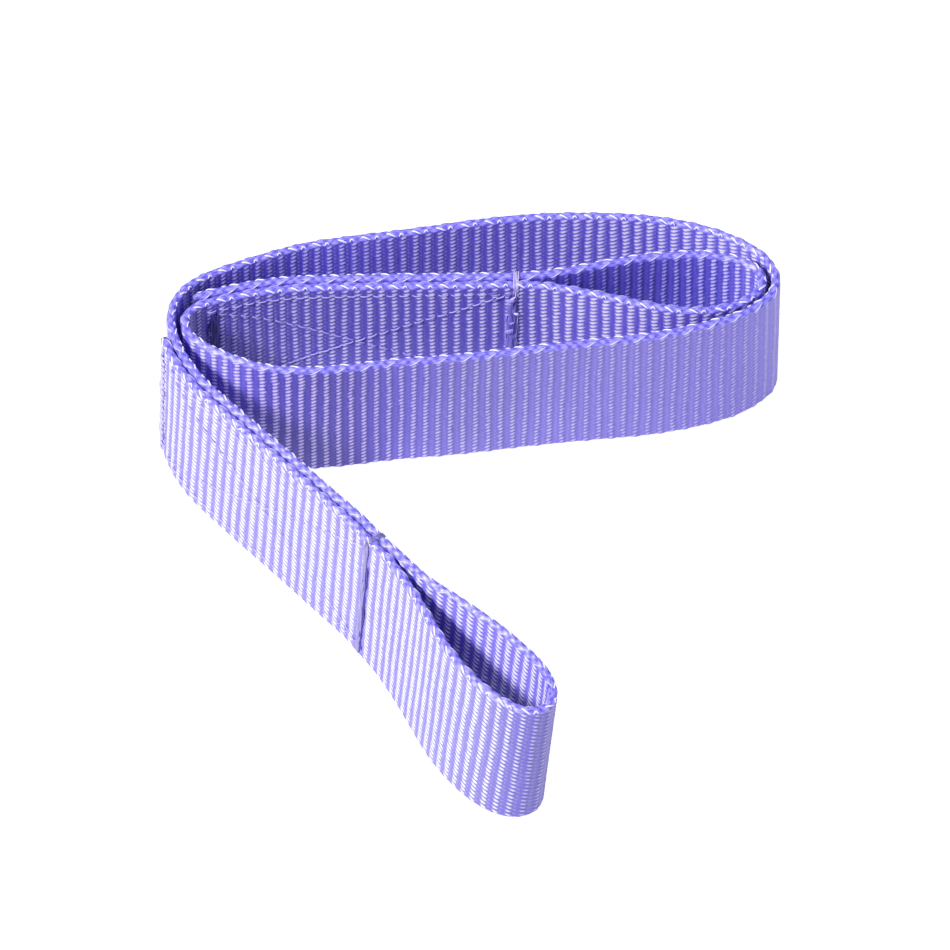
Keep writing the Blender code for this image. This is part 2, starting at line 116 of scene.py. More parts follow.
REAR_EYE = [
    (20.0, 59.9, 0.0, -0.003), (27.5, 58.9, 0.0, -0.012),
    (36.5, 57.4, 0.0, -0.022), (43.7, 55.8, 0.0, -0.030),
    (50.6, 54.4, 0.0, -0.036), (58.0, 53.2, 0.0, -0.040),
    (65.0, 53.0, 0.0, -0.040), (72.5, 54.3, 0.0, -0.038),
    (78.4, 57.4, 0.0, -0.036), (81.6, 61.4, 0.0, -0.032),
    (81.2, 65.2, 0.0, -0.026), (77.4, 68.2, 0.0, -0.018),
    (71.0, 70.0, 0.0, -0.010), (63.5, 70.5, 0.0, -0.004),
    (53.2, 69.8, 0.0, 0.0), (46.6, 68.8, 0.0, 0.0),
    (38.3, 67.1, 0.0, 0.0), (28.0, 64.8, 0.0, 0.0),
    (20.0, 63.3, 0.0, 0.0),
]
FRONT_TAIL_FROM = 12
REAR_TAIL_TO = 0


def offset_points(points, dist):
    out = []
    n = len(points)
    for i, (x, y, ax, ay) in enumerate(points):
        x0, y0 = points[max(i - 1, 0)][:2]
        x1, y1 = points[min(i + 1, n - 1)][:2]
        length = math.hypot(x1 - x0, y1 - y0)
        out.append((x - (y1 - y0) / length * dist, y + (x1 - x0) / length * dist, ax, ay))
    return out


def catmull(points, fine):
    """Centripetal Catmull-Rom samples about `fine` mm apart."""
    pts = np.array(points, float)
    pts = np.vstack([pts[0] * 2 - pts[1], pts, pts[-1] * 2 - pts[-2]])
    out = []
    for i in range(1, len(pts) - 2):
        p0, p1, p2, p3 = pts[i - 1:i + 3]
        t0 = 0.0
        t1 = t0 + math.sqrt(math.hypot(*(p1 - p0)[:2]))
        t2 = t1 + math.sqrt(math.hypot(*(p2 - p1)[:2]))
        t3 = t2 + math.sqrt(math.hypot(*(p3 - p2)[:2]))
        count = max(2, int(math.ceil(math.hypot(*(p2 - p1)[:2]) / fine)))
        t = (t1 + (t2 - t1) * np.arange(count) / count)[:, None]
        a1 = p0 * ((t1 - t) / (t1 - t0)) + p1 * ((t - t0) / (t1 - t0))
        a2 = p1 * ((t2 - t) / (t2 - t1)) + p2 * ((t - t1) / (t2 - t1))
        a3 = p2 * ((t3 - t) / (t3 - t2)) + p3 * ((t - t2) / (t3 - t2))
        b1 = a1 * ((t2 - t) / (t2 - t0)) + a2 * ((t - t0) / (t2 - t0))
        b2 = a2 * ((t3 - t) / (t3 - t1)) + a3 * ((t - t1) / (t3 - t1))
        out.append(b1 * ((t2 - t) / (t2 - t1)) + b2 * ((t - t1) / (t2 - t1)))
    out.append(pts[-2][None])
    return np.vstack(out)


def resample(path, step):
    seg = np.hypot(*(path[1:, :2] - path[:-1, :2]).T)
    dist = np.concatenate([[0.0], np.cumsum(seg)])
    total = dist[-1]
    s = np.linspace(0, total, int(round(total / step)) + 1)
    return np.stack([np.interp(s, dist, path[:, k]) for k in range(4)], 1), total


def ease(path, step, sigma):
    reach = int(math.ceil(3 * sigma / step))
    n = len(path)
    out = np.empty_like(path)
    k = np.arange(-reach, reach + 1)
    w = np.exp(-0.5 * (k * step / sigma) ** 2)
    for i in range(n):
        room = min(reach, i, n - 1 - i)
        ww = w[reach - room:reach + room + 1]
        out[i] = (path[i - room:i + room + 1] * ww[:, None]).sum(0) / ww.sum()
    return out


FINE = 0.25
front_tail = list(reversed(offset_points(FRONT_LEG, LAYER)[:FRONT_TAIL_FROM]))
rear_tail = list(reversed(offset_points(REAR_LEG, LAYER)[REAR_TAIL_TO:]))
CHAIN = (front_tail + FRONT_EYE + FRONT_LEG + OUTER_BEND + BACK_RUN + RIGHT_BEND
         + FRONT_RUN + INNER_BEND + REAR_LEG + REAR_EYE + rear_tail)
ROUTE, _ = resample(catmull(CHAIN, FINE), FINE)
ROUTE = ease(ROUTE, FINE, SMOOTH)
ROUTE, LENGTH = resample(ROUTE, FINE)
FINE = LENGTH / (len(ROUTE) - 1)
S_GRID = np.arange(len(ROUTE)) * FINE
_ahead = np.minimum(np.arange(len(ROUTE)) + 5, len(ROUTE) - 1)
_behind = np.maximum(np.arange(len(ROUTE)) - 5, 0)
TANGENT = ROUTE[_ahead, :2] - ROUTE[_behind, :2]
TANGENT /= np.hypot(*TANGENT.T)[:, None]


def frames(s):
    """Lower-edge points, leans, directions and sideways normals at arc lengths s (mm)."""
    s = np.atleast_1d(np.asarray(s, float))
    r = np.stack([np.interp(s, S_GRID, ROUTE[:, k]) for k in range(4)], 1)
    beyond = np.where(s < 0, s, np.where(s > LENGTH, s - LENGTH, 0.0))
    t = np.stack([np.interp(s, S_GRID, TANGENT[:, k]) for k in range(2)], 1)
    t /= np.hypot(*t.T)[:, None]
    p = np.stack([r[:, 0] + CENTRE[0] + t[:, 0] * beyond,
                  r[:, 1] + CENTRE[1] + t[:, 1] * beyond, np.zeros(len(s))], 1)
    lean = np.stack([r[:, 2], r[:, 3], np.sqrt(1 - r[:, 2] ** 2 - r[:, 3] ** 2)], 1)
    z = np.zeros(len(s))
    return (p, lean, np.stack([t[:, 0], t[:, 1], z], 1),
            np.stack([-t[:, 1], t[:, 0], z], 1))


def on_web(s, across, out):
    p, lean, t, n = frames(s)
    return p + lean * np.reshape(across, (-1, 1)) + n * np.reshape(out, (-1, 1))


def nearest(x, y, lo, hi):
    i0, i1 = int(lo / FINE), int(hi / FINE)
    d = (ROUTE[i0:i1, 0] - x) ** 2 + (ROUTE[i0:i1, 1] - y) ** 2
    return (i0 + int(np.argmin(d))) * FINE


S_TACK_A = nearest(front_tail[-1][0], front_tail[-1][1], 0.0, 150.0)
S_TACK_B = nearest(FRONT_LEG[0][0], FRONT_LEG[0][1], S_TACK_A + 60, 400.0)
S_HINGE = nearest(OUTER_BEND[1][0], OUTER_BEND[1][1], S_TACK_B + 40, 500.0)
S_THROAT_A = S_TACK_A + 5.5
S_THROAT_B = S_TACK_B - 5.5
S_REAR = nearest(REAR_LEG[0][0], REAR_LEG[0][1], 680.0, 760.0)
S_REAR_THROAT_A = nearest(REAR_LEG[-1][0], REAR_LEG[-1][1], S_REAR + 50, S_REAR + 110)

# ---- weave --------------------------------------------------------------------
RIBS = 298                       # ribs along the whole strap
PITCH = LENGTH / RIBS            # one rib, about 3.47 mm
PER_RIB = 8                      # stations in one rib
CROWN = 1.65                     # one yarn up the web
ROW = CROWN / 4.0
HALF_ROWS = 57                   # rows each side of mid-width
BEAD_R = 1.29                    # half thickness of the selvedge
BEAD_V = 48.62                   # centre of the selvedge bead, up the web
BEAD_N = 11                      # rows round a selvedge

CROWN_HALF = 0.29                # half length of a crown, in ribs
SECOND_HALF = 0.20               # the same for the second, lower crown
SECOND_AT = 0.40                 # its place along the rib
CROWN_SLANT = 0.10               # lean of the crowns, from the twist of the yarn


def smooth_noise(shape, cells, seed):
    """Bilinear value noise, -1 to 1, over a grid of that shape."""
    r = np.random.RandomState(seed)
    a, b = cells
    g = r.uniform(-1, 1, (a + 2, b + 2))
    x = np.linspace(0, a, shape[0])
    y = np.linspace(0, b, shape[1])
    i, j = x.astype(int), y.astype(int)
    u, v = (x - i), (y - j)
    u, v = u * u * (3 - 2 * u), v * v * (3 - 2 * v)
    i, j = i[:, None], j[None]
    u, v = u[:, None], v[None]
    return (g[i, j] * (1 - u) * (1 - v) + g[i + 1, j] * u * (1 - v)
            + g[i, j + 1] * (1 - u) * v + g[i + 1, j + 1] * u * v)


# Painted highlight on the crowns along the strap, on the + and - face: s mm, share
PAINTED_CROWN_HIGHLIGHT = {1: ((0, 0.80), (160, 0.90), (178, 1.15), (240, 1.20), (320, 0.80), (500, 0.60), (545, 0.50),
             (590, 0.56), (625, 0.70), (650, 0.92), (672, 1.30), (700, 1.2), (797, 0.60), (845, 1.0), (868, 1.25),
             (888, 1.10), (905, 0.75), (944, 0.62), (1033, 0.60)),
         -1: ((0, 1.0), (148, 1.0), (158, 0.82), (166, 0.42), (180, 0.42), (300, 0.90), (345, 0.80),
              (420, 0.88), (450, 0.98), (475, 1.15), (545, 1.15), (690, 0.95),
              (709, 0.86), (797, 1.02), (812, 1.15), (1033, 0.95))}
# painted light and shade along the strap, the same way
PAINTED_LIGHT_LEVEL = {1: ((0, 1.0), (165, 1.0), (180, 1.45), (200, 1.65), (240, 1.60), (300, 1.0), (520, 1.25), (600, 1.24),
           (635, 1.10), (655, 0.73), (674, 0.74), (686, 1.25), (700, 1.55), (860, 0.92), (944, 0.86), (1033, 1.0)),
       -1: ((0, 1.36), (90, 1.36), (140, 1.22), (158, 1.0), (180, 0.95), (300, 1.0), (350, 1.60), (385, 1.36),
            (420, 1.12), (460, 1.18), (510, 1.25), (690, 0.95), (797, 1.05), (812, 1.35), (845, 1.35), (1033, 1.0))}
# share of blue in the painted light and shade, the same way
PAINTED_BLUE = {1: ((0, 0.95), (180, 0.93), (240, 0.93), (300, 1.0), (520, 0.88),
            (570, 0.79), (620, 0.82), (645, 1.04), (675, 1.14), (692, 0.90), (720, 1.05),
            (860, 1.22), (944, 1.25), (1033, 1.0)),
        -1: ((0, 0.74), (150, 0.74), (175, 0.90), (300, 1.0), (350, 1.15), (400, 1.10), (430, 1.02), (470, 0.98), (690, 1.15),
             (712, 1.12), (740, 0.96), (797, 0.90), (812, 0.85), (1033, 0.9))}
# and the share of green in it
PAINTED_GREEN = {1: ((0, 0.99), (240, 0.99), (300, 0.97), (630, 0.97), (650, 0.88), (678, 0.88), (690, 0.97), (1033, 0.97)),
         -1: ((0, 1.04), (150, 1.04), (175, 0.97), (1033, 0.97))}
# slope of the yarn on a crown: mm up the web for each mm along it
TILT = {1: ((0, 0.3), (300, 0.3), (400, -0.60), (1033, -0.60)),
        -1: ((0, 0.0), (18, -0.10), (45, -0.55), (128, -0.58), (152, -0.24), (240, -0.24), (330, 0.52), (1033, 0.52))}

# half length of the painted highlight on a crown, in ribs, and the strength of the painted highlight on the second
# crown
GLINT = {1: ((0, 0.27), (170, 0.27), (190, 0.35), (240, 0.35), (300, 0.27), (545, 0.215), (640, 0.215), (675, 0.27), (800, 0.22), (850, 0.29), (885, 0.27),
             (910, 0.20), (1033, 0.20)),
         -1: ((0, 0.26), (30, 0.33), (135, 0.33), (152, 0.27), (172, 0.24), (400, 0.25), (450, 0.27), (480, 0.33), (545, 0.33),
              (600, 0.25), (797, 0.26), (815, 0.31), (870, 0.31), (1033, 0.25))}
SECOND = {1: ((0, 0.25), (540, 0.30), (1033, 0.30)),
          -1: ((0, 0.25), (340, 0.40), (440, 0.32), (690, 0.45), (735, 0.40), (765, 0.22), (1033, 0.22))}


def along(table, s):
    return np.interp(s, [a for a, _ in table], [b for _, b in table])


def section():
    """Rows round the webbing: across, out, outward direction, girth position, kind."""
    rows = []
    m = np.arange(-HALF_ROWS, HALF_ROWS + 1)
    for k in m:                                        # + face, upwards
        rows.append((25 + k * ROW, 0.0, 0.0, 1.0, 1))
    for k in range(1, BEAD_N + 1):                     # upper selvedge, + to -
        a = math.pi / 2 - math.pi * k / (BEAD_N + 1)
        rows.append((BEAD_V, 0.0, math.cos(a), math.sin(a), 2))
    for k in m[::-1]:                                  # - face, downwards
        rows.append((25 + k * ROW, 0.0, 0.0, -1.0, -1))
    for k in range(1, BEAD_N + 1):                     # lower selvedge, - to +
        a = -math.pi / 2 - math.pi * k / (BEAD_N + 1)
        rows.append((50 - BEAD_V, 0.0, math.cos(a), math.sin(a), -2))
    return np.array(rows)


SECTION = section()
KIND = SECTION[:, 4].astype(int)


RAND_A = np.random.RandomState(3).uniform(-1, 1, (RIBS + 8, 64, 2))
RAND_B = np.random.RandomState(4).uniform(-1, 1, (RIBS + 8, 64, 2))


def relief(s):
    """Height from mid-thickness, or from a bead's centre, and the crown tone of painted highlight and shade, on (s,
    row).
    """
    x = (s / PITCH)[:, None]
    v = SECTION[:, 0][None]
    ang = np.arctan2(SECTION[:, 3], SECTION[:, 2])[None]
    h = np.zeros((len(s), len(SECTION)))
    tone = np.zeros_like(h)
    wave = 0.05 * np.sin(x * 0.61 + v * 0.09) + 0.03 * np.sin(x * 1.37 - v * 0.21)
    for side in (1, -1):
        cols = KIND == side
        xx = x + wave[:, cols] * 0.6 + (0.5 if side < 0 else 0.0)
        yk = (v[:, cols] - 25) / CROWN
        ia = np.round(xx)
        tilt = along(TILT[side], s)[:, None] * PITCH / CROWN
        painted_shine = along(PAINTED_CROWN_HIGHLIGHT[side], s)[:, None]
        ya = yk - tilt * np.clip(xx - ia, -0.3, 0.3)
        yb = yk - 0.5 - tilt * np.clip(xx - SECOND_AT - np.round(xx - SECOND_AT), -0.2, 0.2)
        ka, kb = np.round(ya), np.round(yb)
        da, db = ya - ka, yb - kb                   # from the nearest yarn of each set
        ra = RAND_A[np.clip(ia.astype(int) + 2, 0, RIBS + 7), (ka.astype(int) + 30)]
        pa = xx - ia + 0.035 * ra[..., 0] + CROWN_SLANT * da
        xb = xx - SECOND_AT
        ib = np.round(xb)
        rb = RAND_B[np.clip(ib.astype(int) + 2, 0, RIBS + 7), (kb.astype(int) + 30)]
        pb = xb - ib + 0.035 * rb[..., 0] + CROWN_SLANT * db
        round_a = np.sqrt(np.clip(1 - (da / 0.50) ** 2, 0, 1))
        round_b = np.sqrt(np.clip(1 - (db / 0.50) ** 2, 0, 1))
        arch_a = np.clip(1 - np.abs(pa / CROWN_HALF) ** 2.6, 0, 1)
        arch_b = np.clip(1 - np.abs(pb / SECOND_HALF) ** 2.4, 0, 1)
        lie = 0.045 * round_a + 0.03 * round_b       # long floats, low, between the ribs
        ha = (0.34 + 0.03 * ra[..., 1]) * arch_a * (0.25 + 0.75 * round_a)
        hb = (0.22 + 0.03 * rb[..., 1]) * arch_b * (0.25 + 0.75 * round_b)
        h[:, cols] = 1.00 + np.maximum(np.maximum(ha, hb), lie)
        # crown tone: painted shade in the gaps between the crowns of a column, painted highlight on the crowns and a
        # fainter painted highlight on the second crowns
        groove = 0.20 * (1 - 0.95 * arch_a ** 0.6 * (1 - round_a ** 2))
        glint = np.clip(1 - np.abs(pa / along(GLINT[side], s)[:, None]) ** 2.6, 0, 1)
        bead = painted_shine * glint ** 0.9 * round_a ** 4.5 * (1 + 0.10 * ra[..., 1])
        low = along(SECOND[side], s)[:, None] * arch_b ** 1.3 * round_b ** 3.5
        tone[:, cols] = np.clip(np.maximum(np.maximum(groove, bead), low), 0, 1)
    # selvedges: strands lying obliquely round the bead, two ribs to a repeat
    for kind in (2, -2):
        cols = KIND == kind
        a = ang[:, cols] if kind == 2 else np.where(ang[:, cols] > 0, math.pi - ang[:, cols], -math.pi - ang[:, cols])
        turn = a / math.pi                          # 0.5 on the + side, -0.5 on the - side
        ph = x / 2 - 0.72 * turn + 0.03 * np.sin(x * 2.1)
        f = ph - np.floor(ph)
        long = np.clip(1 - np.abs((f - 0.29) / 0.29), 0, 1)
        short = np.clip(1 - np.abs((f - 0.79) / 0.21), 0, 1)
        long, short = long ** 0.55, short ** 0.6
        fine = 0.045 * np.cos(2 * math.pi * (2.5 * ph + 3.0 * turn)) + 0.02 * np.cos(2 * math.pi * (6.5 * ph - 2.0 * turn))
        h[:, cols] = BEAD_R - 0.20 + 0.22 * long + 0.17 * short + fine
        # painted highlight on the tops of the strands, painted shade between them
        tone[:, cols] = 0.02 + 0.45 * long + 0.40 * short + 3.2 * fine
    return h, tone


def web_points(s, ends):
    """Grid of points (mm), tones and web coordinates for stations s, with the painted light and shade."""
    h, tone = relief(s)
    kind_face = (np.abs(KIND) == 1)[None]
    # the cut ends are sealed: flattened and pulled thin over the last 1.2 mm
    seal = np.ones(len(s))
    if ends[0]:
        seal = np.minimum(seal, np.clip((s - s[0]) / 1.3, 0, 1) ** 0.5)
    if ends[1]:
        seal = np.minimum(seal, np.clip((s[-1] - s) / 1.3, 0, 1) ** 0.5)
    flat = np.where(kind_face, 1.0, BEAD_R)
    h = flat * 0.80 + (h - flat * 0.80) * (0.25 + 0.75 * seal[:, None])
    h = h * (0.72 + 0.28 * seal[:, None])
    tone = tone * seal[:, None]
    p, lean, t, n = frames(s)
    v = SECTION[:, 0][None] + h * SECTION[:, 2][None]
    o = SECTION[:, 1][None] + h * SECTION[:, 3][None]
    pts = p[:, None] + lean[:, None] * v[..., None] + n[:, None] * o[..., None]
    girth = np.where(kind_face, SECTION[:, 0][None],
                     np.arctan2(SECTION[:, 3], SECTION[:, 2])[None] * BEAD_R)
    coord = np.stack([np.broadcast_to(s[:, None], h.shape), girth + 0 * h,
                      np.where(kind_face, 1.0, 0.0) + 0 * h], -1)
    # painted light and shade along the strap, by face, and its blue and green shares
    dp, dn = along(PAINTED_LIGHT_LEVEL[1], s)[:, None], along(PAINTED_LIGHT_LEVEL[-1], s)[:, None]
    painted_light = np.where(KIND[None] == 1, dp, np.where(KIND[None] == -1, dn, 1 + 0.25 * (dp + dn - 2)))
    painted_light = 1 + (painted_light - 1) * (1 - 0.75 * np.clip((tone - 0.25) / 0.4, 0, 1))      # painted light and shade act mostly on the bands; the crowns keep their painted highlight
    bp, bn = along(PAINTED_BLUE[1], s)[:, None], along(PAINTED_BLUE[-1], s)[:, None]
    blue = np.where(KIND[None] == 1, bp, np.where(KIND[None] == -1, bn, 1.0))
    gp, gn = along(PAINTED_GREEN[1], s)[:, None], along(PAINTED_GREEN[-1], s)[:, None]
    green = np.where(KIND[None] == 1, gp, np.where(KIND[None] == -1, gn, 0.97))
    painted_light = np.stack([painted_light, painted_light * green, painted_light * blue], -1)
    return pts, tone, coord, np.broadcast_to(seal[:, None], h.shape), painted_light


class Soup:
    """Vertices and quads gathered into one mesh."""

    def __init__(self):
        self.v, self.f, self.tone, self.coord, self.mat, self.n = [], [], [], [], [], 0
        self.seal, self.across, self.painted_light = [], [], []

    def grid(self, pts, tone, coord, closed_rows=True, mat=0, caps=True, seal=None, painted_light=None):
        a, b = pts.shape[:2]
        idx = self.n + np.arange(a * b).reshape(a, b)
        nxt = np.roll(idx, -1, 1) if closed_rows else idx[:, 1:]
        cur = idx if closed_rows else idx[:, :-1]
        q = np.stack([cur[:-1], nxt[:-1], nxt[1:], cur[1:]], -1).reshape(-1, 4)
        self.f.append(q)
        self.mat.append(np.full(len(q), mat))
        self.v.append(pts.reshape(-1, 3))
        self.tone.append(tone.reshape(-1))
        self.coord.append(coord.reshape(-1, 3))
        self.seal.append(np.ones(a * b) if seal is None else seal.reshape(-1))
        self.painted_light.append(np.ones((a * b, 3)) if painted_light is None else painted_light.reshape(-1, 3))
        girth = np.roll(pts, -1, 1) - np.roll(pts, 1, 1)
        girth /= np.linalg.norm(girth, axis=-1)[..., None] + 1e-9
        self.across.append(girth.reshape(-1, 3))
        self.n += a * b
        return idx


def make_mesh(name, soup, extra_faces, mats, sharp=None):
    v = np.vstack(soup.v) * MM
    quads = np.vstack(soup.f)
    faces = quads.tolist() + extra_faces
    mesh = bpy.data.meshes.new(name)
    mesh.from_pydata(v.tolist(), [], faces)
    mat_index = np.concatenate(soup.mat + [np.zeros(len(extra_faces), int)])
    for m in mats:
        mesh.materials.append(m)
    mesh.polygons.foreach_set("material_index", mat_index.astype(np.int32))
    mesh.polygons.foreach_set("use_smooth", np.ones(len(mesh.polygons), bool))
    for label, kind, data in (("tone", "FLOAT", np.concatenate(soup.tone)),
                              ("seal", "FLOAT", np.concatenate(soup.seal)),
                              ("web", "FLOAT_VECTOR", np.vstack(soup.coord)),
                              ("painted_light", "FLOAT_VECTOR", np.vstack(soup.painted_light)),
                              ("across", "FLOAT_VECTOR", np.vstack(soup.across))):
        at = mesh.attributes.new(label, kind, "POINT")
        at.data.foreach_set("value" if kind == "FLOAT" else "vector", data.astype(np.float32).ravel())
    if sharp is not None:            # keep the shading of the faces apart from that of the end caps
        pairs = np.empty(len(mesh.edges) * 2, np.int32)
        mesh.edges.foreach_get("vertices", pairs)
        hard = np.isin(pairs.reshape(-1, 2), sharp).all(1)
        mesh.attributes.new("sharp_edge", "BOOLEAN", "EDGE").data.foreach_set("value", hard)
    mesh.update()
    obj = bpy.data.objects.new(name, mesh)
    bpy.context.collection.objects.link(obj)
    return obj


def tube(soup, centre, radius, sides=6, squash_dir=None, squash=1.0, tone=1.0, mat=0, coord=None):
    """Closed tube with pointed ends along centre (N,3), radius (N,)."""
    c = np.asarray(centre, float)
    r = np.broadcast_to(np.asarray(radius, float), (len(c),))
    t = np.gradient(c, axis=0)
    t /= np.linalg.norm(t, axis=1)[:, None]
    ref = squash_dir if squash_dir is not None else np.array([0.0, 0.0, 1.0])
    ref = np.broadcast_to(ref, c.shape)
    b1 = ref - (ref * t).sum(1)[:, None] * t
    b1 /= np.linalg.norm(b1, axis=1)[:, None]
    b2 = np.cross(t, b1)
    ang = np.arange(sides) * 2 * math.pi / sides
    pts = (c[:, None] + b1[:, None] * (np.cos(ang)[None, :, None] * (r * squash)[:, None, None])
           + b2[:, None] * (np.sin(ang)[None, :, None] * r[:, None, None]))
    n = len(c)
    tn = np.full((n, sides), tone)
    along = np.concatenate([[0], np.cumsum(np.linalg.norm(np.diff(c, axis=0), axis=1))])
    co = np.stack([np.broadcast_to(along[:, None], (n, sides)),
                   np.broadcast_to(ang[None] * 0.3, (n, sides)), np.full((n, sides), 2.0)], -1)
    idx = soup.grid(pts, tn, co, mat=mat)
    return [idx[0][::-1].tolist(), idx[-1].tolist()]


# ---- materials ----------------------------------------------------------------
def socket(node, names, value):
    for nm in names:
        if nm in node.inputs:
            node.inputs[nm].default_value = value
            return


def web_material():
    mat = bpy.data.materials.new("violet_polyester_webbing")
    mat.use_nodes = True
    nt = mat.node_tree
    nt.nodes.clear()
    N = nt.nodes.new
    out = N("ShaderNodeOutputMaterial")
    b = N("ShaderNodeBsdfPrincipled")
    nt.links.new(b.outputs[0], out.inputs[0])
    tone = N("ShaderNodeAttribute"); tone.attribute_name = "tone"
    seal = N("ShaderNodeAttribute"); seal.attribute_name = "seal"
    web = N("ShaderNodeAttribute"); web.attribute_name = "web"

    # slow dye variation along the strap, and streaks of single filaments
    slow = N("ShaderNodeTexNoise")
    slow.inputs["Scale"].default_value = 0.045
    slow.inputs["Detail"].default_value = 3.0
    nt.links.new(web.outputs["Vector"], slow.inputs["Vector"])
    stretch = N("ShaderNodeMapping")
    stretch.inputs["Scale"].default_value = (0.9, 9.0, 1.0)
    stretch.inputs["Rotation"].default_value = (0.0, 0.0, math.radians(14))
    nt.links.new(web.outputs["Vector"], stretch.inputs["Vector"])
    fil = N("ShaderNodeTexNoise")
    fil.inputs["Scale"].default_value = 1.0
    fil.inputs["Detail"].default_value = 4.0
    fil.inputs["Roughness"].default_value = 0.65
    nt.links.new(stretch.outputs[0], fil.inputs["Vector"])

    # the crown tone picks the colour: painted shade in the gaps between crowns, the band's own colour, painted
    # highlight on the crowns
    ramp = N("ShaderNodeValToRGB")
    e = ramp.color_ramp.elements
    e[0].position, e[0].color = 0.0, BAND_DEEP
    e[1].position, e[1].color = 1.0, CROWN_HIGHLIGHT_COL
    mid = ramp.color_ramp.elements.new(0.25); mid.color = BAND_COL
    add = N("ShaderNodeMath"); add.operation = "MULTIPLY_ADD"
    nt.links.new(fil.outputs["Fac"], add.inputs[0])
    add.inputs[1].default_value = 0.30
    nt.links.new(tone.outputs["Fac"], add.inputs[2])
    sub = N("ShaderNodeMath"); sub.operation = "SUBTRACT"
    nt.links.new(add.outputs[0], sub.inputs[0]); sub.inputs[1].default_value = 0.10
    nt.links.new(sub.outputs[0], ramp.inputs["Fac"])

    vary = N("ShaderNodeHueSaturation")
    vmap = N("ShaderNodeMapRange")
    vmap.inputs["To Min"].default_value = 0.88
    vmap.inputs["To Max"].default_value = 1.12
    nt.links.new(slow.outputs["Fac"], vmap.inputs["Value"])
    nt.links.new(vmap.outputs[0], vary.inputs["Value"])
    nt.links.new(ramp.outputs["Color"], vary.inputs["Color"])
    # painted light and shade along the strap, from the vertex attribute, multiplied in
    painted_light = N("ShaderNodeAttribute"); painted_light.attribute_name = "painted_light"
    deep = N("ShaderNodeVectorMath"); deep.operation = "MULTIPLY"
    nt.links.new(vary.outputs["Color"], deep.inputs[0])
    nt.links.new(painted_light.outputs["Vector"], deep.inputs[1])
    cap = N("ShaderNodeVectorMath"); cap.operation = "MINIMUM"
    nt.links.new(deep.outputs[0], cap.inputs[0]); cap.inputs[1].default_value = (0.86, 0.84, 0.97)
    # cut ends: melted and darker
    # the selvedge has its own colours, brighter than the ribs' and streaked along the strands; the pale tops of its
    # strands are painted highlight, the gaps between them painted shade
    eramp = N("ShaderNodeValToRGB")
    ee = eramp.color_ramp.elements
    ee[0].position, ee[0].color = 0.05, EDGE_DEEP
    ee[1].position, ee[1].color = 0.65, EDGE_COL
    oblique = N("ShaderNodeMapping")               # coarse strands lying across the selvedge
    oblique.inputs["Scale"].default_value = (0.8, 2.6, 1.0)
    oblique.inputs["Rotation"].default_value = (0.0, 0.0, math.radians(38))
    nt.links.new(web.outputs["Vector"], oblique.inputs["Vector"])
    strand = N("ShaderNodeTexNoise")
    strand.inputs["Scale"].default_value = 1.0
    strand.inputs["Detail"].default_value = 2.5
    nt.links.new(oblique.outputs[0], strand.inputs["Vector"])
    streak = N("ShaderNodeMath"); streak.operation = "MULTIPLY_ADD"
    nt.links.new(strand.outputs["Fac"], streak.inputs[0]); streak.inputs[1].default_value = 1.5
    nt.links.new(tone.outputs["Fac"], streak.inputs[2])
    level = N("ShaderNodeMath"); level.operation = "SUBTRACT"
    nt.links.new(streak.outputs[0], level.inputs[0]); level.inputs[1].default_value = 0.72
    nt.links.new(level.outputs[0], eramp.inputs["Fac"])
    part = N("ShaderNodeSeparateXYZ")
    nt.links.new(web.outputs["Vector"], part.inputs[0])
    on_face = N("ShaderNodeMath"); on_face.operation = "MINIMUM"
    nt.links.new(part.outputs["Z"], on_face.inputs[0]); on_face.inputs[1].default_value = 1.0
    pick = N("ShaderNodeMix"); pick.data_type = "RGBA"
    nt.links.new(on_face.outputs[0], pick.inputs[0])
    nt.links.new(eramp.outputs["Color"], pick.inputs[6])
    nt.links.new(cap.outputs[0], pick.inputs[7])
    mix = N("ShaderNodeMix"); mix.data_type = "RGBA"
    mix.inputs[6].default_value = (0.045, 0.035, 0.20, 1.0)
    nt.links.new(pick.outputs[2], mix.inputs[7])
    nt.links.new(seal.outputs["Fac"], mix.inputs[0])
    nt.links.new(mix.outputs[2], b.inputs["Base Color"])

    rough = N("ShaderNodeMapRange")
    rough.inputs["To Min"].default_value = 0.46
    rough.inputs["To Max"].default_value = 0.32
    nt.links.new(tone.outputs["Fac"], rough.inputs["Value"])
    nt.links.new(rough.outputs[0], b.inputs["Roughness"])

    bump = N("ShaderNodeBump")
    bump.inputs["Strength"].default_value = 0.55
    bump.inputs["Distance"].default_value = 0.00012
    nt.links.new(fil.outputs["Fac"], bump.inputs["Height"])
    nt.links.new(bump.outputs[0], b.inputs["Normal"])
    # filaments lie along the strap, so gloss spreads across it
    across = N("ShaderNodeAttribute"); across.attribute_name = "across"
    turn = N("ShaderNodeVectorTransform")
    turn.vector_type, turn.convert_from, turn.convert_to = "VECTOR", "OBJECT", "WORLD"
    nt.links.new(across.outputs["Vector"], turn.inputs[0])
    nt.links.new(turn.outputs[0], b.inputs["Tangent"])
    gloss = N("ShaderNodeMapRange")               # flat yarn between the ribs is duller than the crowns
    gloss.inputs["From Min"].default_value = 0.2
    gloss.inputs["From Max"].default_value = 0.8
    gloss.inputs["To Min"].default_value = 0.36
    gloss.inputs["To Max"].default_value = 0.80
    nt.links.new(tone.outputs["Fac"], gloss.inputs["Value"])
    nt.links.new(gloss.outputs[0], b.inputs["Specular IOR Level"])
    b.inputs["Anisotropic"].default_value = 0.85
    socket(b, ["IOR"], 1.60)
    socket(b, ["Sheen Weight", "Sheen"], 0.04)
    socket(b, ["Sheen Roughness"], 0.35)
    socket(b, ["Sheen Tint"], (0.86, 0.84, 1.0, 1.0))
    return mat


